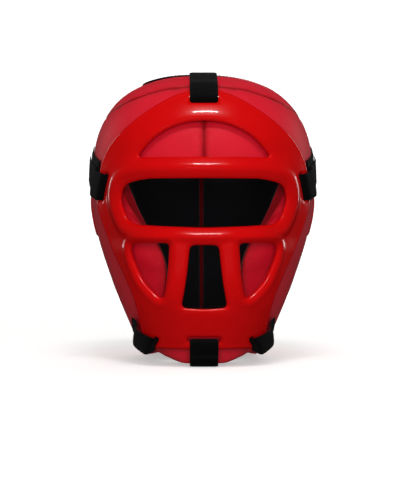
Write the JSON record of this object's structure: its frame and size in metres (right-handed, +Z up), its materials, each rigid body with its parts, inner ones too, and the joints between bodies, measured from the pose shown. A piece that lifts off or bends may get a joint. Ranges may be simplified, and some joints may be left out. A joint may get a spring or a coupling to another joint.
{
  "type": "boxing headgear",
  "caption": "Padded boxing head guard with a moulded face mask that has forehead, eye, cheek and mouth windows and is held by hook-and-loop straps.",
  "frame": {"origin": "on the floor below the middle of the headgear, between its left and right sides and its front and back", "axes": "the face opening looks along -Y, +X is to the right seen from the front, +Z is up"},
  "size_m": [0.2204, 0.2556, 0.2755],
  "materials": {
    "pad_leather": "satin",
    "mask_shell": "gloss",
    "strap_webbing": "matte"
  },
  "bodies": {
    "root": {"crown_pad": "pad_leather", "chin_pad": "pad_leather", "forehead_pad_right": "pad_leather", "forehead_pad_left": "pad_leather", "side_pad_right": "pad_leather", "side_pad_left": "pad_leather", "back_pad_right": "pad_leather", "back_pad_left": "pad_leather", "face_mask": "mask_shell", "top_strap": "strap_webbing", "crown_strap": "strap_webbing", "chin_strap": "strap_webbing", "closure_strap": "strap_webbing", "temple_patch_right": "strap_webbing", "temple_patch_left": "strap_webbing", "temple_strap_right": "strap_webbing", "temple_strap_left": "strap_webbing", "jaw_strap_right": "strap_webbing", "jaw_strap_left": "strap_webbing"}
  },
  "joints": []
}
